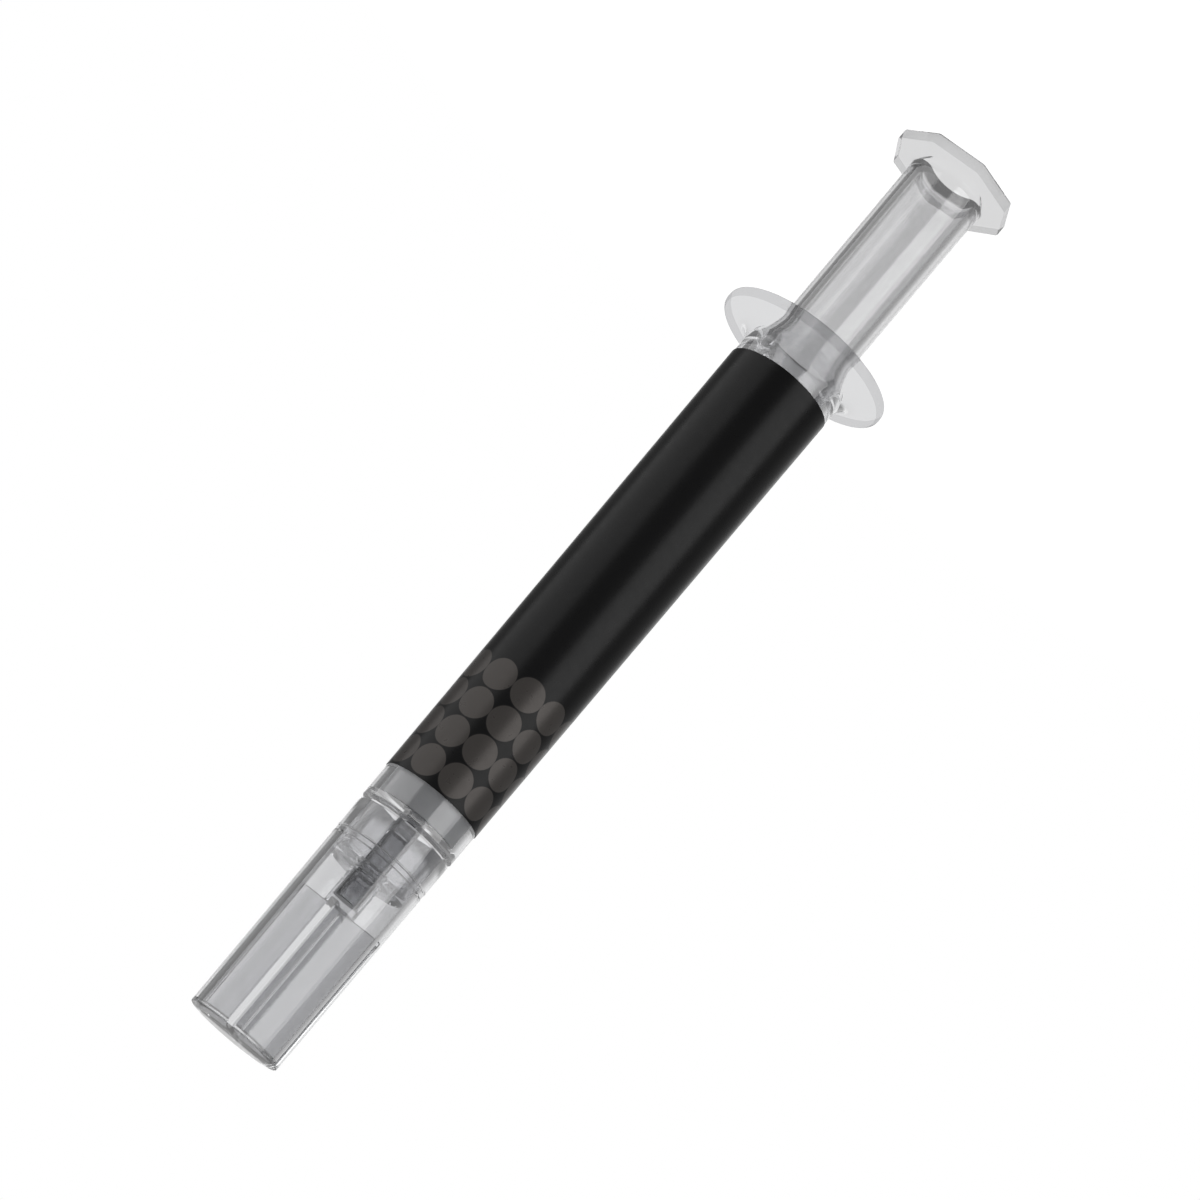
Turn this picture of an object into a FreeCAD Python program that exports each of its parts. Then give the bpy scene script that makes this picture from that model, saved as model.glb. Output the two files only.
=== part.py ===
import FreeCAD, Part
import math
import os

# Thermal paste syringe, capped, standing on its thumb disc.
# Millimetres. The thumb face lies in z = 0, its centre is the origin and +Z runs along the axis to the cap.

# Thumb disc and plunger stem
disc_flats = 11.94
disc_thickness = 1.24
disc_sides = 8
disc_edge = 0.14
stem_reach = 22.41
stem_od = 7.96
stem_draft = 0.0096
stem_wall = 0.98
stem_end_wall = 1.3
stem_root = 0.3
stem_core_edge = 0.45
stem_mouth_edge = 0.2
neck_d = 3.0
neck_length = 1.5
barb_d = 4.3
barb_length = 2.1
barb_land = 0.5
barb_tip_d = 1.8

# Stopper
stopper_length = 6.2
stopper_clearance = 0.04
stopper_rib = 1.3
stopper_waist = 0.35
stopper_blend = 0.5
snap_clearance = 0.05

# Barrel
bore_d = 8.2
flange_d = 17.6
flange_thickness = 1.07
flange_edge = 0.24
cove_radius = 2.1
barrel_od = 10.5
barrel_draft = 0.0145
barrel_length = 55.98
mouth_edge = 0.3
bead_height = 0.06
bead_width = 0.8
bead_depth = 1.6
nose_thickness = 3.5
nose_edge = 0.12
floor_cone = 1.2
push_travel = 20.6
end_gap = 0.3

# Nozzle
nozzle_base_d = 2.38
nozzle_tip_d = 2.28
nozzle_length = 8.9
nozzle_bore_d = 1.66
nozzle_tip_edge = 0.1

# Paste
paste_clearance = 0.05

# Label
label_start = 3.35
label_margin = 2.6
label_thickness = 0.05
label_gap = 0.02
label_overlap = 2.4
label_seam_angle = 65.0

# Cap shell
cap_gap = 1.05
cap_od = 9.65
cap_draft = 0.0155
cap_length = 22.55
cap_wall = 0.8
cap_end = 0.7
cap_end_edge = 0.22
cap_mouth_edge = 0.08
rib_thickness = 0.73
snap_offset = 3.03
snap_width = 0.65
snap_depth = 0.12

# Cap socket
socket_clearance = 0.03
socket_top = 0.1
socket_length = 5.13
cup_wall = 0.78
cup_floor = 0.8
sleeve_od = 3.2
sleeve_end = 0.9
sleeve_clearance = 0.04
sleeve_lead = 0.3

# Least slope, radius over length, that is drawn as a cone
slight_taper = 0.1

# Places along the axis, all from the thumb face
flange_back = stem_reach
flange_front = flange_back + flange_thickness
nose_face = flange_back + barrel_length
label_back = flange_front + label_start
label_front = nose_face - label_margin
floor_apex = nose_face - nose_thickness
floor_rim = floor_apex - floor_cone
stopper_shoulder = floor_rim - end_gap - push_travel
stopper_back = stopper_shoulder - stopper_length
stem_end = stopper_back - snap_clearance
nozzle_tip = nose_face + nozzle_length
cap_mouth = nose_face + cap_gap
cap_top = cap_mouth + cap_length
cap_floor = cap_top - cap_end
socket_mouth = cap_mouth + socket_top
socket_base = socket_mouth + socket_length
sleeve_floor = nozzle_tip + sleeve_clearance
rib_top = sleeve_floor + sleeve_end
snap_back = cap_mouth + snap_offset

bore_r = bore_d / 2
stopper_r = bore_r - stopper_clearance


def point(radius, height):
    return FreeCAD.Vector(radius, 0, height)


def straight(start, end):
    # A slight taper is drawn as a straight spline, so that its turned face is a single band of facets.
    width = abs(end.x - start.x)
    if width == 0 or width > abs(end.z - start.z) * slight_taper:
        return Part.LineSegment(start, end).toShape()
    taper = Part.BSplineCurve()
    taper.buildFromPoles([start, end], False, 1)
    return taper.toShape()


def lines(*corners):
    places = [point(*corner) for corner in corners]
    return [straight(a, b) for a, b in zip(places, places[1:])]


def bend(start, centre, end):
    # The short arc from start to end about centre, in the section plane.
    radius = math.dist(start, centre)
    mid_r = (start[0] + end[0]) / 2 - centre[0]
    mid_z = (start[1] + end[1]) / 2 - centre[1]
    reach = radius / math.hypot(mid_r, mid_z)
    middle = (centre[0] + mid_r * reach, centre[1] + mid_z * reach)
    return [Part.Arc(point(*start), point(*middle), point(*end)).toShape()]


def turned(edges, degrees=360):
    section = Part.Face(Part.Wire(edges))
    return section.revolve(FreeCAD.Vector(0, 0, 0), FreeCAD.Vector(0, 0, 1), degrees)


def turned_outline(*corners):
    return turned(lines(*corners, corners[0]))


def barrel_radius(height):
    return barrel_od / 2 - barrel_draft / 2 * (height - label_back)


def stem_radius(height):
    return stem_od / 2 - stem_draft / 2 * (height - disc_thickness)


def cap_radius(height):
    return cap_od / 2 - cap_draft / 2 * (height - cap_mouth)


def cap_bore_radius(height):
    return cap_radius(height) - cap_wall


def barrel():
    # Flange, cove, tapered tube, solid nose and nozzle, moulded in one piece with a straight bore.
    rim_r = flange_d / 2
    cove_z = flange_front + cove_radius
    cove_r = barrel_radius(cove_z) + cove_radius
    bead_start = flange_back + bead_depth
    bead_top = bead_start + bead_width / 2
    bead_stop = bead_start + bead_width
    channel_r = nozzle_bore_d / 2
    tip_r = nozzle_tip_d / 2
    edges = lines(
        (bore_r + mouth_edge, flange_back),
        (rim_r - flange_edge, flange_back),
        (rim_r, flange_back + flange_edge),
        (rim_r, flange_front - flange_edge),
        (rim_r - flange_edge, flange_front),
        (cove_r, flange_front),
    )
    edges += bend((cove_r, flange_front), (cove_r, cove_z), (cove_r - cove_radius, cove_z))
    edges += lines(
        (cove_r - cove_radius, cove_z),
        (barrel_radius(nose_face - nose_edge), nose_face - nose_edge),
        (barrel_radius(nose_face) - nose_edge, nose_face),
        (nozzle_base_d / 2, nose_face),
        (tip_r, nozzle_tip - nozzle_tip_edge),
        (tip_r - nozzle_tip_edge, nozzle_tip),
        (channel_r, nozzle_tip),
        (channel_r, floor_apex),
        (bore_r, floor_rim),
        (bore_r, bead_stop),
        (bore_r - bead_height, bead_top),
        (bore_r, bead_start),
        (bore_r, flange_back + mouth_edge),
        (bore_r + mouth_edge, flange_back),
    )
    return turned(edges)


def label_wrap():
    # A printed film glued round the barrel, with its free end lapped over its start.
    inner_back = barrel_radius(label_back) + label_gap
    inner_front = barrel_radius(label_front) + label_gap
    film = turned_outline(
        (inner_back, label_back),
        (inner_back + label_thickness, label_back),
        (inner_front + label_thickness, label_front),
        (inner_front, label_front),
    )
    lap_degrees = math.degrees(label_overlap / (barrel_od / 2))
    lap = turned(lines(
        (inner_back + label_thickness / 2, label_back),
        (inner_back + 2 * label_thickness, label_back),
        (inner_front + 2 * label_thickness, label_front),
        (inner_front + label_thickness / 2, label_front),
        (inner_back + label_thickness / 2, label_back),
    ), lap_degrees)
    lap.rotate(FreeCAD.Vector(0, 0, 0), FreeCAD.Vector(0, 0, 1), label_seam_angle)
    return film.fuse(lap).removeSplitter()


def paste_charge():
    # The paste between the stopper and the bore's floor.
    paste_r = bore_r - paste_clearance
    channel_r = nozzle_bore_d / 2
    slope = floor_cone / (bore_r - channel_r)
    back = stopper_shoulder + paste_clearance
    front = floor_rim - paste_clearance
    return turned_outline(
        (0, back + slope * (bore_r - channel_r)),
        (channel_r, back + slope * (bore_r - channel_r)),
        (paste_r, back + slope * (bore_r - paste_r)),
        (paste_r, front + slope * (bore_r - paste_r)),
        (channel_r, front + floor_cone),
        (0, front + floor_cone),
    )


def thumb_disc():
    corner_r = disc_flats / 2 / math.cos(math.pi / disc_sides)
    corners = []
    for side in range(disc_sides + 1):
        turn = (2 * side + 1) * math.pi / disc_sides
        corners.append(FreeCAD.Vector(corner_r * math.cos(turn), corner_r * math.sin(turn), 0))
    plate = Part.Face(Part.makePolygon(corners)).extrude(FreeCAD.Vector(0, 0, disc_thickness))
    return plate.makeChamfer(disc_edge, plate.Edges)


def plunger():
    # Eight-sided thumb disc, hollow drafted stem and the barbed tip that snaps into the stopper.
    root_z = disc_thickness + stem_root
    end_r = stem_radius(stem_end)
    neck_r = neck_d / 2
    barb_r = barb_d / 2
    barb_base = stem_end + neck_length
    barb_tip = barb_base + barb_length
    body = turned_outline(
        (0, 0),
        (stem_radius(0) + stem_root, 0),
        (stem_radius(0) + stem_root, disc_thickness),
        (stem_radius(root_z), root_z),
        (end_r, stem_end - stem_core_edge),
        (end_r - stem_core_edge, stem_end),
        (neck_r, stem_end),
        (neck_r, barb_base),
        (barb_r, barb_base),
        (barb_r, barb_base + barb_land),
        (barb_tip_d / 2, barb_tip),
        (0, barb_tip),
    )
    mouth_r = stem_radius(0) - stem_wall
    bore_end = stem_end - stem_end_wall
    bore = turned_outline(
        (0, 0),
        (mouth_r + stem_mouth_edge, 0),
        (mouth_r, stem_mouth_edge),
        (stem_radius(bore_end) - stem_wall, bore_end - stem_core_edge),
        (stem_radius(bore_end) - stem_wall - stem_core_edge, bore_end),
        (0, bore_end),
    )
    return thumb_disc().fuse(body).cut(bore).removeSplitter()


def stopper():
    # Rubber piston: two sealing ribs, a cone that matches the bore's floor, and a barbed socket behind.
    channel_r = nozzle_bore_d / 2
    waist_r = stopper_r - stopper_waist
    rib_front = stopper_back + stopper_rib
    waist_back = rib_front + stopper_blend
    waist_front = stopper_shoulder - stopper_rib - stopper_blend
    neck_r = neck_d / 2 + snap_clearance
    barb_r = barb_d / 2 + snap_clearance
    barb_base = stem_end + neck_length - snap_clearance
    barb_tip = stem_end + neck_length + barb_length + snap_clearance
    body = turned_outline(
        (0, stopper_back),
        (stopper_r - stopper_clearance, stopper_back),
        (stopper_r, stopper_back + stopper_clearance),
        (stopper_r, rib_front),
        (waist_r, waist_back),
        (waist_r, waist_front),
        (stopper_r, stopper_shoulder - stopper_rib),
        (stopper_r, stopper_shoulder),
        (channel_r, stopper_shoulder + floor_cone),
        (0, stopper_shoulder + floor_cone),
    )
    socket = turned_outline(
        (0, stopper_back),
        (neck_r, stopper_back),
        (neck_r, barb_base),
        (barb_r, barb_base),
        (barb_r, stem_end + neck_length + barb_land + snap_clearance),
        (barb_tip_d / 2 + snap_clearance, barb_tip),
        (0, barb_tip),
    )
    return body.cut(socket)


def cross_ribs():
    # Two crossed plates from wall to wall, from the sleeve's end to the cap's floor.
    reach = cap_bore_radius(rib_top) + cap_wall / 2
    height = cap_floor - rib_top + cap_end / 2
    half = rib_thickness / 2
    plate = Part.makeBox(2 * reach, rib_thickness, height, FreeCAD.Vector(-reach, -half, rib_top))
    other = plate.copy()
    other.rotate(FreeCAD.Vector(0, 0, 0), FreeCAD.Vector(0, 0, 1), 90)
    envelope = Part.makeCone(
        cap_bore_radius(rib_top) + cap_wall / 2,
        cap_bore_radius(cap_top) + cap_wall / 2,
        cap_top - rib_top,
        FreeCAD.Vector(0, 0, rib_top),
    )
    return plate.fuse(other).common(envelope)


def cap_shell():
    # Drafted cup with a closed end, a snap groove near its mouth and crossed ribs in its far half.
    end_r = cap_radius(cap_top)
    groove_r = cap_bore_radius(snap_back) + snap_depth
    cup = turned_outline(
        (0, cap_floor),
        (cap_bore_radius(cap_floor), cap_floor),
        (cap_bore_radius(snap_back + snap_width), snap_back + snap_width),
        (groove_r, snap_back + snap_width - snap_depth),
        (groove_r, snap_back + snap_depth),
        (cap_bore_radius(snap_back), snap_back),
        (cap_bore_radius(cap_mouth), cap_mouth),
        (cap_radius(cap_mouth) - cap_mouth_edge, cap_mouth),
        (cap_radius(cap_mouth), cap_mouth + cap_mouth_edge),
        (end_r, cap_top - cap_end_edge),
        (end_r - cap_end_edge, cap_top),
        (0, cap_top),
    )
    return cup.fuse(cross_ribs()).removeSplitter()


def cap_socket():
    # Cup that snaps into the shell's mouth, with the sleeve that closes the nozzle.
    plug_mouth_r = cap_bore_radius(socket_mouth) - socket_clearance
    plug_base_r = cap_bore_radius(socket_base) - socket_clearance
    bead_r = cap_bore_radius(snap_back) + snap_depth - socket_clearance
    bead_back = snap_back + socket_clearance
    bead_front = snap_back + snap_width - socket_clearance
    cup_r = plug_mouth_r - cup_wall
    cup_base = socket_base - cup_floor
    sleeve_r = sleeve_od / 2
    hole_r = nozzle_base_d / 2 + sleeve_clearance
    hole_end_r = nozzle_tip_d / 2 + sleeve_clearance
    return turned_outline(
        (cup_r, socket_mouth),
        (plug_mouth_r, socket_mouth),
        (cap_bore_radius(bead_back) - socket_clearance, bead_back),
        (bead_r, bead_back + snap_depth),
        (bead_r, bead_front - snap_depth),
        (cap_bore_radius(bead_front) - socket_clearance, bead_front),
        (plug_base_r, socket_base),
        (sleeve_r, socket_base),
        (sleeve_r, rib_top),
        (0, rib_top),
        (0, sleeve_floor),
        (hole_end_r, sleeve_floor),
        (hole_r, cup_base + sleeve_lead),
        (hole_r + sleeve_lead, cup_base),
        (cup_r, cup_base),
    )


def write_parts():
    makers = (barrel, label_wrap, paste_charge, plunger, stopper, cap_shell, cap_socket)
    os.makedirs("parts", exist_ok=True)
    for maker in makers:
        solid = maker()
        solid.exportStep(f"parts/{maker.__name__}.step")
        print(f"{maker.__name__}: {solid.Volume:.1f} mm3, {len(solid.Solids)} solid, valid {solid.isValid()}")


write_parts()
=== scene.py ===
import math

import bmesh
import bpy
from mathutils import Matrix, Vector


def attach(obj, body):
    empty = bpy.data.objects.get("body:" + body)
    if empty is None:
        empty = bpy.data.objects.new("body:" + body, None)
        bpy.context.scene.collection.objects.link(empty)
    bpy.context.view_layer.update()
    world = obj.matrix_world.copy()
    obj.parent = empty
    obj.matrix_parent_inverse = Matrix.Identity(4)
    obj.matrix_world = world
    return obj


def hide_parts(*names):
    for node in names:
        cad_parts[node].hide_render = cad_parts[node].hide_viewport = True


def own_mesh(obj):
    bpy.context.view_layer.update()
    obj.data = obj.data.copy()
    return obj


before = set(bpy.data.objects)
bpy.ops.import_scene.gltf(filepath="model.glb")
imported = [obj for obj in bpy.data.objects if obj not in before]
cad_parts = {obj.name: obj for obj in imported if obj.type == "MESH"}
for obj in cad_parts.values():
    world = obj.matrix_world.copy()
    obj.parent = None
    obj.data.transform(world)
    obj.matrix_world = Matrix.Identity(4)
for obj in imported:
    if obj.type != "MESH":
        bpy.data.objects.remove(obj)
scene = bpy.context.scene
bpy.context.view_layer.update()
print("frame loaded")

mm = 0.001
axisUp = Vector((0, 0, 1))
centre = Vector((0, 0, 0))

meshPlan = {
    "ringReach": 2e-6, "mergeReach": 1e-6, "seamReach": 2e-7, "bevelProfile": 0.5, "normalWeight": 60,
}


# shared making

def spinOutline(corners, steps, closed=False):
    # corners are (radius, height) in mm, spun round the long axis
    bm = bmesh.new()
    verts = [bm.verts.new((r * mm, 0, z * mm)) for r, z in corners]
    pairs = list(zip(verts, verts[1:]))
    if closed:
        pairs.append((verts[-1], verts[0]))
    edges = [bm.edges.new(pair) for pair in pairs]
    bmesh.ops.spin(bm, geom=verts + edges, cent=centre, axis=axisUp, dvec=centre,
                   angle=math.tau, steps=steps, use_merge=True, use_duplicate=False)
    bmesh.ops.remove_doubles(bm, verts=bm.verts, dist=meshPlan["mergeReach"])
    bmesh.ops.recalc_face_normals(bm, faces=bm.faces)
    return bm


def ringEdges(bm, radius, height):
    def isOnRing(vert):
        return (abs(vert.co.z - height * mm) <= meshPlan["ringReach"]
                and abs(vert.co.xy.length - radius * mm) < meshPlan["ringReach"])

    return [edge for edge in bm.edges if all(isOnRing(vert) for vert in edge.verts)]


def roundRing(bm, radius, height, width, segments):
    bmesh.ops.bevel(bm, geom=ringEdges(bm, radius, height), offset=width * mm, offset_type="OFFSET",
                    segments=segments, profile=meshPlan["bevelProfile"], affect="EDGES", material=-1,
                    clamp_overlap=False)


def markSharp(bm, angle):
    for face in bm.faces:
        face.smooth = True
    for edge in bm.edges:
        if len(edge.link_faces) == 2:
            edge.smooth = edge.calc_face_angle(0) < math.radians(angle)


def markRim(bm, radius, steep):
    # the outermost faces take the piece's second material, a darker copy of the clear plastic that paints
    # shade on the rim
    for face in bm.faces:
        if abs(face.normal.z) < steep and face.calc_center_median().xy.length > radius * mm:
            face.material_index = 1


def bareObject(name, bm):
    mesh = bpy.data.meshes.new(name)
    bm.to_mesh(mesh)
    bm.free()
    item = bpy.data.objects.new(name, mesh)
    scene.collection.objects.link(item)
    return item


def makePiece(name, bm, body, nodes, material, sharpAngle=34):
    markSharp(bm, sharpAngle)
    piece = bareObject(name, bm)
    piece.data.materials.append(material)
    weighted = piece.modifiers.new("evenShading", "WEIGHTED_NORMAL")
    weighted.keep_sharp = True
    weighted.weight = meshPlan["normalWeight"]
    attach(piece, body)
    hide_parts(*nodes)
    print(name, len(piece.data.polygons), "faces")
    return piece


def newMaterial(name):
    material = bpy.data.materials.new(name)
    material.use_nodes = True
    tree = material.node_tree
    shader = tree.nodes["Principled BSDF"]
    coords = tree.nodes.new("ShaderNodeTexCoord")
    return material, tree, shader, coords


def addNoise(tree, vector, scale, detail, stretch=(1, 1, 1)):
    mapping = tree.nodes.new("ShaderNodeMapping")
    mapping.inputs["Scale"].default_value = stretch
    noise = tree.nodes.new("ShaderNodeTexNoise")
    noise.inputs["Scale"].default_value = scale
    noise.inputs["Detail"].default_value = detail
    tree.links.new(vector, mapping.inputs["Vector"])
    tree.links.new(mapping.outputs["Vector"], noise.inputs["Vector"])
    return noise.outputs["Fac"]


def addRange(tree, value, low, high, start=0.3, stop=0.7):
    spread = tree.nodes.new("ShaderNodeMapRange")
    spread.inputs["From Min"].default_value = start
    spread.inputs["From Max"].default_value = stop
    spread.inputs["To Min"].default_value = low
    spread.inputs["To Max"].default_value = high
    tree.links.new(value, spread.inputs["Value"])
    return spread.outputs["Result"]


def addMath(tree, operation, *values):
    node = tree.nodes.new("ShaderNodeMath")
    node.operation = operation
    for socket, value in zip(node.inputs, values):
        if isinstance(value, (int, float)):
            socket.default_value = value
        else:
            tree.links.new(value, socket)
    return node.outputs[0]


def paintBlend(tree, shader, factor, first, second):
    blend = tree.nodes.new("ShaderNodeMix")
    blend.data_type = "RGBA"
    blend.inputs["A"].default_value = (*first, 1)
    blend.inputs["B"].default_value = (*second, 1)
    tree.links.new(factor, blend.inputs["Factor"])
    tree.links.new(blend.outputs["Result"], shader.inputs["Base Color"])


def addBump(tree, shader, height, strength, distance):
    bump = tree.nodes.new("ShaderNodeBump")
    bump.inputs["Strength"].default_value = strength
    bump.inputs["Distance"].default_value = distance
    tree.links.new(height, bump.inputs["Height"])
    tree.links.new(bump.outputs["Normal"], shader.inputs["Normal"])


plasticGrain = {
    "hazeScale": 160, "hazeDetail": 2, "hazeStretch": (1, 1, 0.25),
    "flowScale": 260, "flowDetail": 1, "flowStretch": (1, 1, 0.12), "flowDepth": 0.00002,
}


def clearPlastic(plan, name):
    # moulded clear plastic: faint flow marks along the axis and a little haze
    grain = plasticGrain
    material, tree, shader, coords = newMaterial(name)
    shader.inputs["Base Color"].default_value = (*plan["tint"], 1)
    shader.inputs["Transmission Weight"].default_value = 1.0
    haze = addNoise(tree, coords.outputs["Object"], grain["hazeScale"], grain["hazeDetail"],
                    grain["hazeStretch"])
    tree.links.new(addRange(tree, haze, plan["roughLow"], plan["roughHigh"]), shader.inputs["Roughness"])
    flow = addNoise(tree, coords.outputs["Object"], grain["flowScale"], grain["flowDetail"],
                    grain["flowStretch"])
    addBump(tree, shader, flow, plan["ripple"], grain["flowDepth"])
    shader.inputs["IOR"].default_value = plan["ior"]
    if "thickEnd" in plan:
        # the end between these heights bends light less, so that what is behind it stays readable
        split = tree.nodes.new("ShaderNodeSeparateXYZ")
        tree.links.new(coords.outputs["Object"], split.inputs["Vector"])
        low, high = plan["thickEnd"]
        bend = addRange(tree, split.outputs["Z"], plan["thickIor"], plan["ior"], low * mm, high * mm)
        tree.links.new(bend, shader.inputs["IOR"])
    return material


# camera

cameraPlan = {
    "place": (-60.7, -298.1, 136.2),
    "aim": (0, 0, 52.4),
    "roll": -139.9,
    "lens": 108, "sensor": 36,
    "near": 0.01, "far": 20,
}


def makeCamera(plan):
    data = bpy.data.cameras.new("photoCamera")
    data.lens = plan["lens"]
    data.sensor_width = plan["sensor"]
    data.clip_start = plan["near"]
    data.clip_end = plan["far"]
    camera = bpy.data.objects.new("photoCamera", data)
    scene.collection.objects.link(camera)
    place = Vector(plan["place"]) * mm
    towards = Vector(plan["aim"]) * mm - place
    level = towards.to_track_quat("-Z", "Y").to_matrix().to_4x4()
    roll = Matrix.Rotation(math.radians(plan["roll"]), 4, "Z")
    camera.matrix_world = Matrix.Translation(place) @ level @ roll
    scene.camera = camera


makeCamera(cameraPlan)


# barrel

barrelPlan = {
    "flangeBack": 22.41, "flangeFront": 23.48, "flangeR": 8.8, "flangeRound": 0.42,
    "coveR": 2.1, "coveRun": 1, "boreR": 4.1, "mouthEdge": 0.3,
    "labelBack": 26.83, "wallR": 5.25, "draft": 0.00725,
    "noseFace": 79.05, "noseEdge": 0.04,
    "floorApex": 78.4, "floorRim": 78.3, "channelR": 0.83,
    "nozzleBaseR": 1.19, "nozzleTipR": 1.14, "nozzleTip": 87.29,
    "nozzleEdge": 0.1, "nozzleRoot": 0.15,
    "beadStart": 24.01, "beadWidth": 0.8, "beadHeight": 0.04,
    "steps": 512,
    "tint": (0.72, 0.722, 0.73), "roughLow": 0.0, "roughHigh": 0.008, "ior": 1.49, "ripple": 0.004,
    "thickEnd": (23.5, 25.6), "thickIor": 1.025,
    # the rim tint is painted shade: a darker copy of the same clear plastic
    "rimPaintedShadeTint": (0.53, 0.53, 0.54), "rimSteep": 0.97,
}


def wallRadius(plan, z):
    return plan["wallR"] - plan["draft"] * (z - plan["labelBack"])


def makeBarrel(plan):
    wallStart = plan["flangeFront"] + plan["coveR"] + plan["coveRun"]
    coveCorner = wallRadius(plan, plan["flangeFront"])
    noseR = wallRadius(plan, plan["noseFace"])
    beadStop = plan["beadStart"] + plan["beadWidth"]
    corners = [
        (plan["boreR"], plan["flangeBack"]),
        (plan["flangeR"], plan["flangeBack"]),
        (plan["flangeR"], plan["flangeFront"]),
        (coveCorner, plan["flangeFront"]),
        (wallRadius(plan, wallStart), wallStart),
        (noseR, plan["noseFace"]),
        (plan["nozzleBaseR"], plan["noseFace"]),
        (plan["nozzleTipR"], plan["nozzleTip"]),
        (plan["channelR"], plan["nozzleTip"]),
        (plan["channelR"], plan["floorApex"]),
        (plan["boreR"], plan["floorRim"]),
        (plan["boreR"], beadStop),
        (plan["boreR"] - plan["beadHeight"], plan["beadStart"] + plan["beadWidth"] / 2),
        (plan["boreR"], plan["beadStart"]),
    ]
    bm = spinOutline(corners, plan["steps"], closed=True)
    roundRing(bm, plan["flangeR"], plan["flangeBack"], plan["flangeRound"], segments=5)
    roundRing(bm, plan["flangeR"], plan["flangeFront"], plan["flangeRound"], segments=5)
    roundRing(bm, coveCorner, plan["flangeFront"], plan["coveR"], segments=14)
    roundRing(bm, plan["boreR"], plan["flangeBack"], plan["mouthEdge"], segments=3)
    roundRing(bm, noseR, plan["noseFace"], plan["noseEdge"], segments=3)
    roundRing(bm, plan["nozzleBaseR"], plan["noseFace"], plan["nozzleRoot"], segments=3)
    roundRing(bm, plan["nozzleTipR"], plan["nozzleTip"], plan["nozzleEdge"], segments=2)
    markRim(bm, plan["flangeR"] - plan["flangeRound"], plan["rimSteep"])
    piece = makePiece("barrelMoulding", bm, "barrel", ["barrel"],
                      clearPlastic(plan, "clearBarrelPlastic"))
    # painted shade: the flange rim gets a darker tinted copy of the clear plastic
    piece.data.materials.append(clearPlastic({**plan, "tint": plan["rimPaintedShadeTint"]}, "flangeRimPaintedShadePlastic"))


makeBarrel(barrelPlan)


# plunger

plungerPlan = {
    "flats": 8, "discFlatR": 5.97, "discThickness": 1.24, "discEdge": 0.12, "cornerTrim": 0.05,
    "stemR": 3.98, "draft": 0.0048, "wall": 0.98, "root": 0.45,
    "stemEnd": 46.54, "endWall": 1.3, "coreEdge": 0.45, "mouthEdge": 0.2,
    "neckR": 1.5, "neckLength": 1.5, "barbR": 2.15, "barbLength": 2.1, "barbLand": 0.5, "tipR": 0.9,
    "steps": 384, "sharpAngle": 20,
    "tint": (0.7, 0.7, 0.705), "roughLow": 0.01, "roughHigh": 0.03, "ior": 1.49, "ripple": 0.006,
    "thickEnd": (1.3, 2.0), "thickIor": 1.07,
    "rimPaintedShadeTint": (0.5, 0.5, 0.505), "rimSteep": 0.3,
}


def stemRadius(plan, z):
    return plan["stemR"] - plan["draft"] * (z - plan["discThickness"])


def makePlunger(plan):
    boreEnd = plan["stemEnd"] - plan["endWall"]
    boreMouthR = stemRadius(plan, 0) - plan["wall"]
    boreEndR = stemRadius(plan, boreEnd) - plan["wall"]
    endR = stemRadius(plan, plan["stemEnd"])
    barbBase = plan["stemEnd"] + plan["neckLength"]
    discR = plan["discFlatR"]
    rootR = stemRadius(plan, plan["discThickness"])
    corners = [
        (0, boreEnd),
        (boreEndR, boreEnd),
        (boreMouthR, 0),
        (discR, 0),
        (discR, plan["discThickness"]),
        (rootR, plan["discThickness"]),
        (endR, plan["stemEnd"]),
        (plan["neckR"], plan["stemEnd"]),
        (plan["neckR"], barbBase),
        (plan["barbR"], barbBase),
        (plan["barbR"], barbBase + plan["barbLand"]),
        (plan["tipR"], barbBase + plan["barbLength"]),
        (0, barbBase + plan["barbLength"]),
    ]
    bm = spinOutline(corners, plan["steps"])
    roundRing(bm, boreEndR, boreEnd, plan["coreEdge"], segments=4)
    roundRing(bm, boreMouthR, 0, plan["mouthEdge"], segments=3)
    roundRing(bm, discR, 0, plan["discEdge"], segments=2)
    roundRing(bm, discR, plan["discThickness"], plan["discEdge"], segments=2)
    roundRing(bm, rootR, plan["discThickness"], plan["root"], segments=5)
    roundRing(bm, endR, plan["stemEnd"], plan["coreEdge"], segments=4)
    # the disc's rim is pushed out from round to flats
    side = math.tau / plan["flats"]
    for vert in bm.verts:
        radius = vert.co.xy.length
        if radius > (discR - 2 * plan["discEdge"]) * mm:
            turn = (math.atan2(vert.co.y, vert.co.x) + side / 2) % side - side / 2
            grow = min(1 / math.cos(turn), 1 / math.cos(side / 2) - plan["cornerTrim"] / discR)
            vert.co.x *= grow
            vert.co.y *= grow
    markRim(bm, discR - plan["discEdge"], plan["rimSteep"])
    piece = makePiece("plungerStem", bm, "plunger", ["plunger"],
                      clearPlastic(plan, "clearPlungerPlastic"), plan["sharpAngle"])
    # painted shade: the disc rim gets a darker tinted copy of the clear plastic
    piece.data.materials.append(clearPlastic({**plan, "tint": plan["rimPaintedShadeTint"]}, "discRimPaintedShadePlastic"))


makePlunger(plungerPlan)


# stopper

stopperPlan = {
    "back": 46.59, "shoulder": 52.79, "r": 4.06, "rib": 1.3, "waist": 0.35, "blend": 0.5,
    "channelR": 0.83, "cone": 1.2, "ribRound": 0.25,
    "neckR": 1.55, "barbR": 2.2, "barbBase": 47.99, "barbStop": 48.59, "tipR": 0.95, "tip": 50.19,
    "steps": 160,
    "colour": (0.018, 0.018, 0.019), "dust": (0.035, 0.035, 0.036), "roughLow": 0.42, "roughHigh": 0.58,
    "grainScale": 900, "grainDetail": 4, "bump": 0.2, "bumpDepth": 0.00003,
}


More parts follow.
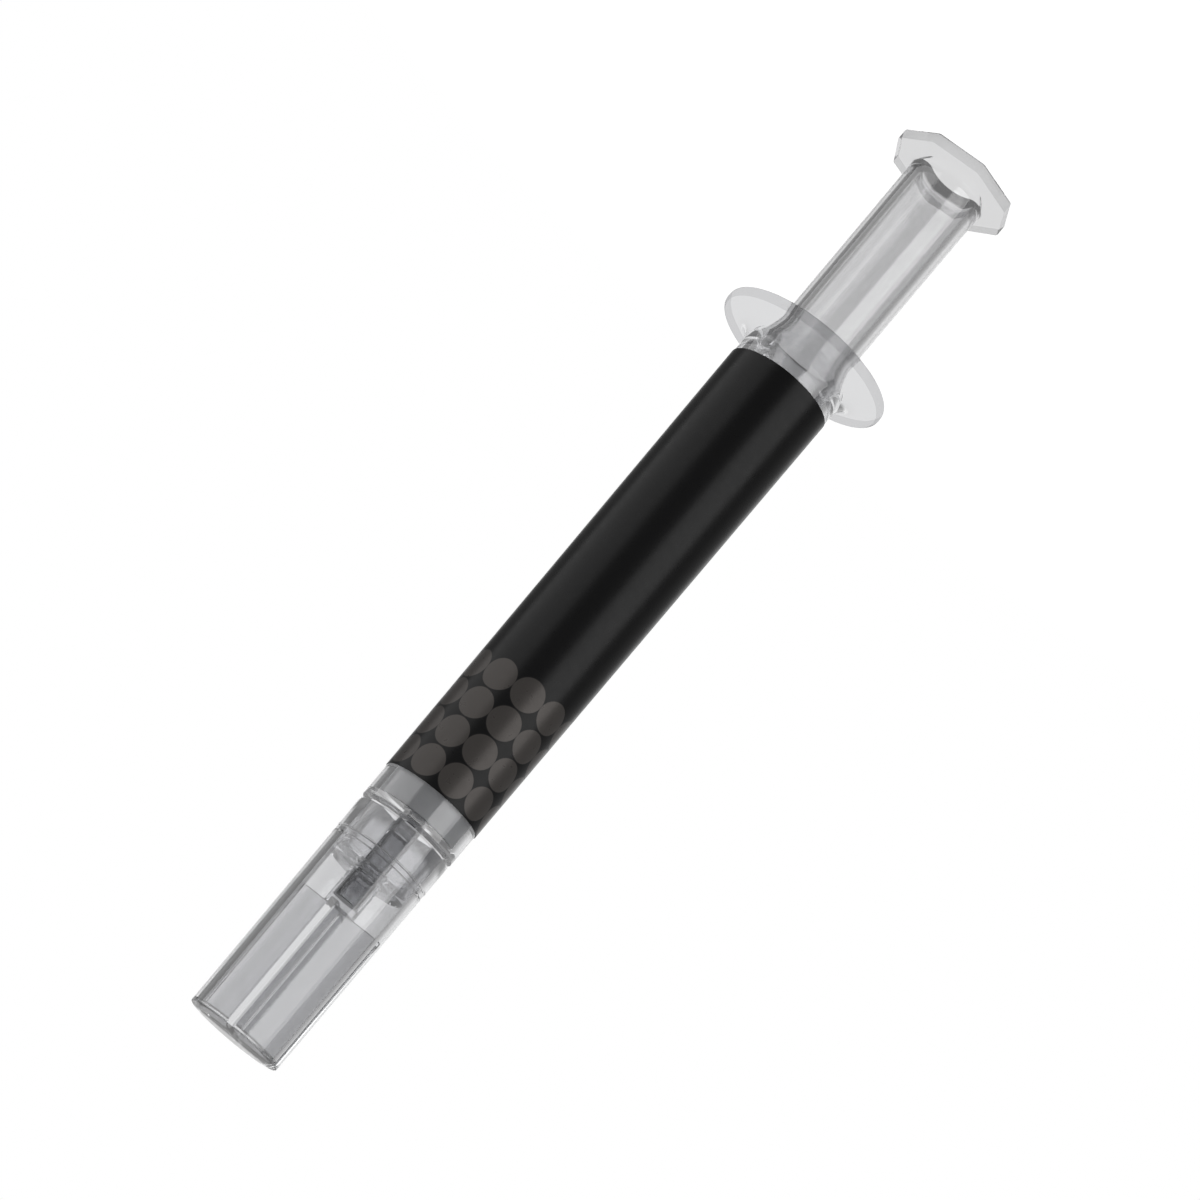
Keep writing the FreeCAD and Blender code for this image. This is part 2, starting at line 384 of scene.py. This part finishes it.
def makeStopper(plan):
    waistR = plan["r"] - plan["waist"]
    corners = [
        (0, plan["tip"]),
        (plan["tipR"], plan["tip"]),
        (plan["barbR"], plan["barbStop"]),
        (plan["barbR"], plan["barbBase"]),
        (plan["neckR"], plan["barbBase"]),
        (plan["neckR"], plan["back"]),
        (plan["r"], plan["back"]),
        (plan["r"], plan["back"] + plan["rib"]),
        (waistR, plan["back"] + plan["rib"] + plan["blend"]),
        (waistR, plan["shoulder"] - plan["rib"] - plan["blend"]),
        (plan["r"], plan["shoulder"] - plan["rib"]),
        (plan["r"], plan["shoulder"]),
        (plan["channelR"], plan["shoulder"] + plan["cone"]),
        (0, plan["shoulder"] + plan["cone"]),
    ]
    bm = spinOutline(corners, plan["steps"])
    ribs = (plan["back"], plan["back"] + plan["rib"], plan["shoulder"] - plan["rib"], plan["shoulder"])
    for z in ribs:
        roundRing(bm, plan["r"], z, plan["ribRound"], segments=4)
    material, tree, shader, coords = newMaterial("blackRubber")
    grain = addNoise(tree, coords.outputs["Object"], plan["grainScale"], plan["grainDetail"])
    paintBlend(tree, shader, addRange(tree, grain, 0, 1), plan["colour"], plan["dust"])
    tree.links.new(addRange(tree, grain, plan["roughLow"], plan["roughHigh"]), shader.inputs["Roughness"])
    addBump(tree, shader, grain, plan["bump"], plan["bumpDepth"])
    makePiece("rubberStopper", bm, "stopper", ["stopper"], material)


makeStopper(stopperPlan)


# paste

pastePlan = {
    "r": 4.05, "back": 52.86, "front": 78.25, "channelR": 0.83,
    "backCone": 1.2, "frontCone": 0.05, "edge": 0.12,
    "anchor": 0.07825, "keep": 0.148, "steps": 128,
    "colour": (0.57, 0.575, 0.585), "light": (0.63, 0.635, 0.645), "roughLow": 0.3, "roughHigh": 0.42,
    "swirlScale": 420, "swirlDetail": 5, "swirlStretch": (1, 1, 0.5), "bump": 0.3, "bumpDepth": 0.00005,
}


def makePaste(plan):
    corners = [
        (0, plan["back"] + plan["backCone"]),
        (plan["channelR"], plan["back"] + plan["backCone"]),
        (plan["r"], plan["back"]),
        (plan["r"], plan["front"]),
        (plan["channelR"], plan["front"] + plan["frontCone"]),
        (0, plan["front"] + plan["frontCone"]),
    ]
    bm = spinOutline(corners, plan["steps"])
    roundRing(bm, plan["r"], plan["back"], plan["edge"], segments=2)
    roundRing(bm, plan["r"], plan["front"], plan["edge"], segments=2)
    material, tree, shader, coords = newMaterial("greyPaste")
    swirl = addNoise(tree, coords.outputs["Object"], plan["swirlScale"], plan["swirlDetail"],
                     plan["swirlStretch"])
    paintBlend(tree, shader, addRange(tree, swirl, 0, 1), plan["colour"], plan["light"])
    tree.links.new(addRange(tree, swirl, plan["roughLow"], plan["roughHigh"]), shader.inputs["Roughness"])
    addBump(tree, shader, swirl, plan["bump"], plan["bumpDepth"])
    piece = makePiece("pasteColumn", bm, "barrel", ["paste_charge"], material)
    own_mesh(piece)


makePaste(pastePlan)


# label

labelPlan = {
    "start": 26.83, "front": 75.79, "gap": -0.01, "thickness": 0.08,
    "lapStart": 65.0, "lapSlack": 0.1, "lapDegrees": 26.2, "steps": 288, "endSteep": 0.5,
    "film": (0.004, 0.004, 0.0042), "disc": (0.056, 0.051, 0.048), "discGloss": 0.35,
    "discR": 1.545, "rowGap": 3.24, "firstRow": 74.05, "rows": 4,
    "columns": 10, "columnCentre": -107.7, "arcPerColumn": 3.1, "edgeSoft": 0.03,
    "roughLow": 0.27, "roughHigh": 0.33, "ior": 1.24,
    "grainScale": 1400, "grainDetail": 3, "bump": 0.04, "bumpDepth": 0.00001,
    # the backing's glow is painted light
    "back": (0.8, 0.8, 0.81), "backShade": 0.9, "backRoughness": 0.6, "backPaintedGlow": 0.15,
    "backGrainScale": 700, "backGrainDetail": 3,
}


def labelMaterial(plan):
    material, tree, shader, coords = newMaterial("printedFilm")
    split = tree.nodes.new("ShaderNodeSeparateXYZ")
    tree.links.new(coords.outputs["Object"], split.inputs["Vector"])
    turn = addMath(tree, "ARCTAN2", split.outputs["Y"], split.outputs["X"])
    step = math.tau / plan["columns"]
    # how far a point lies from the nearest disc's middle, round the barrel and along it, in mm
    column = addMath(tree, "SUBTRACT", turn, math.radians(plan["columnCentre"]))
    column = addMath(tree, "DIVIDE", column, step)
    across = addMath(tree, "SUBTRACT", column, addMath(tree, "ROUND", column))
    across = addMath(tree, "MULTIPLY", across, plan["arcPerColumn"])
    row = addMath(tree, "SUBTRACT", plan["firstRow"] * mm, split.outputs["Z"])
    row = addMath(tree, "DIVIDE", row, plan["rowGap"] * mm)
    along = addMath(tree, "SUBTRACT", row, addMath(tree, "ROUND", row))
    along = addMath(tree, "MULTIPLY", along, plan["rowGap"])
    reach = addMath(tree, "SQRT", addMath(tree, "ADD", addMath(tree, "POWER", across, 2),
                                          addMath(tree, "POWER", along, 2)))
    inside = addRange(tree, reach, 1, 0, plan["discR"] - plan["edgeSoft"], plan["discR"] + plan["edgeSoft"])
    inRows = addMath(tree, "MULTIPLY", addMath(tree, "GREATER_THAN", row, -0.5),
                     addMath(tree, "LESS_THAN", row, plan["rows"] - 0.5))
    printed = addMath(tree, "MULTIPLY", inside, inRows)
    paintBlend(tree, shader, printed, plan["film"], plan["disc"])
    tree.links.new(addMath(tree, "MULTIPLY", printed, plan["discGloss"]), shader.inputs["Metallic"])
    shader.inputs["IOR"].default_value = plan["ior"]
    grain = addNoise(tree, coords.outputs["Object"], plan["grainScale"], plan["grainDetail"])
    tree.links.new(addRange(tree, grain, plan["roughLow"], plan["roughHigh"]), shader.inputs["Roughness"])
    addBump(tree, shader, grain, plan["bump"], plan["bumpDepth"])
    return material


def backingMaterial(plan):
    material, tree, shader, coords = newMaterial("filmBackingPaintedGlow")
    grain = addNoise(tree, coords.outputs["Object"], plan["backGrainScale"], plan["backGrainDetail"])
    shaded = [plan["backShade"] * value for value in plan["back"]]
    paintBlend(tree, shader, addRange(tree, grain, 0, 1), plan["back"], shaded)
    shader.inputs["Roughness"].default_value = plan["backRoughness"]
    # painted light: the backing glows, standing in for light that comes in through the film and the clear
    # wall
    shader.inputs["Emission Color"].default_value = (1, 1, 1, 1)
    shader.inputs["Emission Strength"].default_value = plan["backPaintedGlow"]
    return material


def makeLabel(plan, barrel):
    innerBack = wallRadius(barrel, plan["start"]) + plan["gap"]
    innerFront = wallRadius(barrel, plan["front"]) + plan["gap"]
    corners = [
        (innerBack, plan["start"]),
        (innerBack + plan["thickness"], plan["start"]),
        (innerFront + plan["thickness"], plan["front"]),
        (innerFront, plan["front"]),
    ]
    bm = spinOutline(corners, plan["steps"], closed=True)
    # the sticky side is pale, with a painted glow standing in for the light that the clear wall lets in,
    # and shows through the clear wall
    for face in bm.faces:
        outward = face.normal.xy.dot(face.calc_center_median().xy)
        isEnd = abs(face.normal.z) >= plan["endSteep"]
        face.material_index = 1 if outward < 0 and not isEnd else 0
    # the free end lies over the start, so the outside steps out by one thickness there
    lapFrom = plan["lapStart"] - plan["lapSlack"]
    lapTo = plan["lapStart"] + plan["lapDegrees"]
    for vert in bm.verts:
        share = (vert.co.z / mm - plan["start"]) / (plan["front"] - plan["start"])
        inner = innerBack + share * (innerFront - innerBack)
        turn = math.degrees(math.atan2(vert.co.y, vert.co.x))
        isOutside = vert.co.xy.length > (inner + plan["thickness"] / 2) * mm
        if isOutside and lapFrom < turn < lapTo:
            grow = 1 + plan["thickness"] * mm / vert.co.xy.length
            vert.co.x *= grow
            vert.co.y *= grow
    piece = makePiece("labelFilm", bm, "barrel", ["label_wrap"], labelMaterial(plan))
    piece.data.materials.append(backingMaterial(plan))


makeLabel(labelPlan, barrelPlan)


# cap

capPlan = {
    "mouth": 79.44, "top": 101.99, "floor": 101.7, "outR": 4.825, "draft": 0.00775, "wall": 0.8,
    "mouthEdge": 0.04, "endRound": 0.12, "floorRound": 0.2,
    "snapBack": 82.47, "snapWidth": 0.65, "snapDepth": 0.12, "witness": 0.03,
    "ribThickness": 0.73, "ribTop": 88.23, "ribEdge": 0.06,
    "steps": 512,
    "tint": (0.72, 0.722, 0.73), "roughLow": 0.0, "roughHigh": 0.006, "ior": 1.49, "ripple": 0.003,
}


def capRadius(plan, z):
    return plan["outR"] - plan["draft"] * (z - plan["mouth"])


def makeRib(plan, turn):
    # the plate reaches half into the wall and half into the closed end
    halfWidth = capRadius(plan, plan["ribTop"]) - plan["wall"] / 2
    height = plan["floor"] - plan["ribTop"] + (plan["top"] - plan["floor"]) / 2
    bm = bmesh.new()
    bmesh.ops.create_cube(bm, size=1)
    bmesh.ops.scale(bm, vec=(2 * halfWidth * mm, plan["ribThickness"] * mm, height * mm),
                    verts=bm.verts)
    bmesh.ops.translate(bm, vec=(0, 0, (plan["ribTop"] + height / 2) * mm), verts=bm.verts)
    # the plate narrows towards the closed end, as the bore does
    for vert in bm.verts:
        if vert.co.z > (plan["ribTop"] + height / 2) * mm:
            vert.co.x *= (capRadius(plan, plan["top"]) - plan["wall"] / 2) / halfWidth
    reach = meshPlan["mergeReach"]
    freeEdges = []
    for edge in bm.edges:
        first, second = edge.verts
        isFree = all(abs(vert.co.z - plan["ribTop"] * mm) < reach for vert in edge.verts)
        if isFree and abs(first.co.y - second.co.y) < reach:
            freeEdges.append(edge)
    bmesh.ops.bevel(bm, geom=freeEdges, offset=plan["ribEdge"] * mm, offset_type="OFFSET", segments=2,
                    profile=meshPlan["bevelProfile"], affect="EDGES", material=-1)
    bmesh.ops.rotate(bm, cent=centre, matrix=Matrix.Rotation(turn, 3, "Z"), verts=bm.verts)
    return bareObject("capRib", bm)


def joinSolids(base, others):
    for other in others:
        cut = base.modifiers.new("join", "BOOLEAN")
        cut.operation = "UNION"
        cut.solver = "EXACT"
        cut.object = other
    bpy.context.view_layer.update()
    solid = base.evaluated_get(bpy.context.evaluated_depsgraph_get())
    bm = bmesh.new()
    bm.from_mesh(solid.to_mesh())
    for item in [base, *others]:
        bpy.data.objects.remove(item)
    bmesh.ops.remove_doubles(bm, verts=bm.verts, dist=meshPlan["seamReach"])
    return bm


def makeCap(plan):
    snapStop = plan["snapBack"] + plan["snapWidth"]
    snapBackR = capRadius(plan, plan["snapBack"])
    snapStopR = capRadius(plan, snapStop)
    grooveR = snapBackR - plan["wall"] + plan["snapDepth"]
    floorR = capRadius(plan, plan["floor"]) - plan["wall"]
    endR = capRadius(plan, plan["top"])
    mouthR = capRadius(plan, plan["mouth"])
    corners = [
        (0, plan["floor"]),
        (floorR, plan["floor"]),
        (snapStopR - plan["wall"], snapStop),
        (grooveR, snapStop - plan["snapDepth"]),
        (grooveR, plan["snapBack"] + plan["snapDepth"]),
        (snapBackR - plan["wall"], plan["snapBack"]),
        (mouthR - plan["wall"], plan["mouth"]),
        (mouthR, plan["mouth"]),
        (snapBackR, plan["snapBack"]),
        (snapBackR - plan["witness"], plan["snapBack"] + plan["witness"]),
        (snapStopR - plan["witness"], snapStop - plan["witness"]),
        (snapStopR, snapStop),
        (endR, plan["top"]),
        (0, plan["top"]),
    ]
    bm = spinOutline(corners, plan["steps"])
    roundRing(bm, mouthR, plan["mouth"], plan["mouthEdge"], segments=2)
    roundRing(bm, endR, plan["top"], plan["endRound"], segments=4)
    roundRing(bm, floorR, plan["floor"], plan["floorRound"], segments=3)
    cup = bareObject("capCup", bm)
    bm = joinSolids(cup, [makeRib(plan, 0), makeRib(plan, math.tau / 4)])
    material = clearPlastic(plan, "clearCapPlastic")
    makePiece("capShell", bm, "cap", ["cap_shell"], material)


makeCap(capPlan)


# socket in the cap's mouth

socketPlan = {
    "mouth": 79.54, "base": 84.67, "cupBase": 83.87, "sleeveFloor": 87.33, "sleeveTop": 88.2,
    "clearance": 0.03, "cupWall": 0.78, "sleeveR": 1.6, "holeR": 1.23, "holeEndR": 1.18, "lead": 0.3,
    "mouthEdge": 0.06, "sleeveRoot": 0.2, "steps": 448,
    "tint": (0.82, 0.822, 0.83), "roughLow": 0.0, "roughHigh": 0.006, "ior": 1.2, "ripple": 0.003,
}


def makeSocket(plan, cap):
    def plugRadius(z):
        return capRadius(cap, z) - cap["wall"] - plan["clearance"]

    beadBack = cap["snapBack"] + plan["clearance"]
    beadFront = cap["snapBack"] + cap["snapWidth"] - plan["clearance"]
    beadR = plugRadius(cap["snapBack"]) + cap["snapDepth"]
    cupR = plugRadius(plan["mouth"]) - plan["cupWall"]
    corners = [
        (0, plan["sleeveFloor"]),
        (plan["holeEndR"], plan["sleeveFloor"]),
        (plan["holeR"], plan["cupBase"] + plan["lead"]),
        (plan["holeR"] + plan["lead"], plan["cupBase"]),
        (cupR, plan["cupBase"]),
        (cupR, plan["mouth"]),
        (plugRadius(plan["mouth"]), plan["mouth"]),
        (plugRadius(beadBack), beadBack),
        (beadR, beadBack + cap["snapDepth"]),
        (beadR, beadFront - cap["snapDepth"]),
        (plugRadius(beadFront), beadFront),
        (plugRadius(plan["base"]), plan["base"]),
        (plan["sleeveR"], plan["base"]),
        (plan["sleeveR"], plan["sleeveTop"]),
        (0, plan["sleeveTop"]),
    ]
    bm = spinOutline(corners, plan["steps"])
    roundRing(bm, plugRadius(plan["mouth"]), plan["mouth"], plan["mouthEdge"], segments=2)
    roundRing(bm, plan["sleeveR"], plan["base"], plan["sleeveRoot"], segments=3)
    material = clearPlastic(plan, "clearSocketPlastic")
    makePiece("capSocket", bm, "cap", ["cap_socket"], material)


makeSocket(socketPlan, capPlan)


# studio

studioPlan = {
    "floorR": 0.14, "floorSegments": 96, "floorDrop": 0.0207,
    "floorColour": (0.82, 0.82, 0.82), "floorRough": 0.6, "floorSpecular": 0.1, "floorGlow": 0.76,
    "lights": [
        {"name": "sideLightLeft", "angle": -28.5, "spread": 78, "distance": 0.55,
         "low": -0.36, "high": 0.12, "glow": 1.8},
        {"name": "sideLightRight", "angle": -147.3, "spread": 50.8, "distance": 0.55,
         "low": -0.36, "high": 0.12, "glow": 3.0},
    ],
    # the world's level at each angle round the axis, counted from straight behind the part
    "behindAngle": 78.5,
    "horizon": [
        (-180, 0.35), (-80, 0.35), (-72, 0.44), (-50, 0.44), (-38, 0.64), (-28, 1),
        (17, 1), (23, 0.25), (72, 0.25), (80, 0.35), (180, 0.35),
    ],
    "above": 0.35, "aboveStart": -0.01, "aboveFull": 0.05,
    "bounces": 32, "glossyBounces": 16,
}


def makeFloor(plan):
    bm = bmesh.new()
    # low enough for the thumb disc when the plunger is drawn right out
    below = Matrix.Translation(-axisUp * plan["floorDrop"])
    bmesh.ops.create_circle(bm, cap_ends=True, segments=plan["floorSegments"], radius=plan["floorR"],
                            matrix=below)
    floor = bareObject("floor", bm)
    material = bpy.data.materials.new("paleFloor")
    material.use_nodes = True
    tree = material.node_tree
    shader = tree.nodes["Principled BSDF"]
    shader.inputs["Base Color"].default_value = (*plan["floorColour"], 1)
    shader.inputs["Roughness"].default_value = plan["floorRough"]
    shader.inputs["Specular IOR Level"].default_value = plan["floorSpecular"]
    path = tree.nodes.new("ShaderNodeLightPath")
    shader.inputs["Emission Color"].default_value = (1, 1, 1, 1)
    tree.links.new(addMath(tree, "MULTIPLY", path.outputs["Is Camera Ray"], plan["floorGlow"]),
                   shader.inputs["Emission Strength"])
    # rays from gloss and clear plastic pass through to the world
    through = tree.nodes.new("ShaderNodeBsdfTransparent")
    pick = tree.nodes.new("ShaderNodeMixShader")
    passing = addMath(tree, "MAXIMUM", path.outputs["Is Glossy Ray"], path.outputs["Is Transmission Ray"])
    tree.links.new(passing, pick.inputs["Fac"])
    tree.links.new(shader.outputs["BSDF"], pick.inputs[1])
    tree.links.new(through.outputs["BSDF"], pick.inputs[2])
    tree.links.new(pick.outputs["Shader"], tree.nodes["Material Output"].inputs["Surface"])
    floor.data.materials.append(material)


def makeLight(plan):
    bm = bmesh.new()
    bmesh.ops.create_grid(bm, x_segments=1, y_segments=1, size=0.5)
    half = plan["distance"] * math.tan(math.radians(plan["spread"] / 2))
    height = plan["high"] - plan["low"]
    bmesh.ops.scale(bm, vec=(2 * half, height, 1), verts=bm.verts)
    panel = bareObject(plan["name"], bm)
    turn = math.radians(plan["angle"])
    out = Vector((math.cos(turn), math.sin(turn), 0))
    place = out * plan["distance"] + axisUp * (plan["low"] + height / 2)
    facing = out.to_track_quat("-Z", "Y").to_matrix().to_4x4()
    panel.matrix_world = Matrix.Translation(place) @ facing
    material = bpy.data.materials.new(plan["name"])
    material.use_nodes = True
    tree = material.node_tree
    tree.nodes.remove(tree.nodes["Principled BSDF"])
    glow = tree.nodes.new("ShaderNodeEmission")
    glow.inputs["Strength"].default_value = plan["glow"]
    tree.links.new(glow.outputs["Emission"], tree.nodes["Material Output"].inputs["Surface"])
    panel.data.materials.append(material)
    panel.visible_camera = False


def makeWorld(plan):
    world = bpy.data.worlds.new("studio")
    scene.world = world
    world.use_nodes = True
    tree = world.node_tree
    back = tree.nodes["Background"]
    coords = tree.nodes.new("ShaderNodeTexCoord")
    split = tree.nodes.new("ShaderNodeSeparateXYZ")
    tree.links.new(coords.outputs["Generated"], split.inputs["Vector"])
    turn = math.radians(plan["behindAngle"])
    east, north = split.outputs["X"], split.outputs["Y"]
    ahead = addMath(tree, "ADD", addMath(tree, "MULTIPLY", east, math.cos(turn)),
                    addMath(tree, "MULTIPLY", north, math.sin(turn)))
    aside = addMath(tree, "SUBTRACT", addMath(tree, "MULTIPLY", east, math.sin(turn)),
                    addMath(tree, "MULTIPLY", north, math.cos(turn)))
    angle = addRange(tree, addMath(tree, "ARCTAN2", aside, ahead), 0, 1, -math.pi, math.pi)
    ring = tree.nodes.new("ShaderNodeValToRGB")
    points = ring.color_ramp.elements
    for degrees, level in plan["horizon"][1:-1]:
        points.new((degrees + 180) / 360).color = (level, level, level, 1)
    endLevel = plan["horizon"][0][1]
    points[0].color = points[-1].color = (endLevel, endLevel, endLevel, 1)
    tree.links.new(angle, ring.inputs["Fac"])
    high = addRange(tree, split.outputs["Z"], 0, 1, plan["aboveStart"], plan["aboveFull"])
    blend = tree.nodes.new("ShaderNodeMix")
    tree.links.new(high, blend.inputs["Factor"])
    tree.links.new(ring.outputs["Color"], blend.inputs["A"])
    blend.inputs["B"].default_value = plan["above"]
    # the camera itself sees plain white
    path = tree.nodes.new("ShaderNodeLightPath")
    shade = addMath(tree, "MAXIMUM", blend.outputs["Result"], path.outputs["Is Camera Ray"])
    tree.links.new(shade, back.inputs["Strength"])
    back.inputs["Color"].default_value = (1, 1, 1, 1)


makeFloor(studioPlan)
for light in studioPlan["lights"]:
    makeLight(light)
makeWorld(studioPlan)

scene.view_settings.view_transform = "Standard"
scene.cycles.max_bounces = studioPlan["bounces"]
scene.cycles.transmission_bounces = studioPlan["bounces"]
scene.cycles.glossy_bounces = studioPlan["glossyBounces"]
print("studio ready")
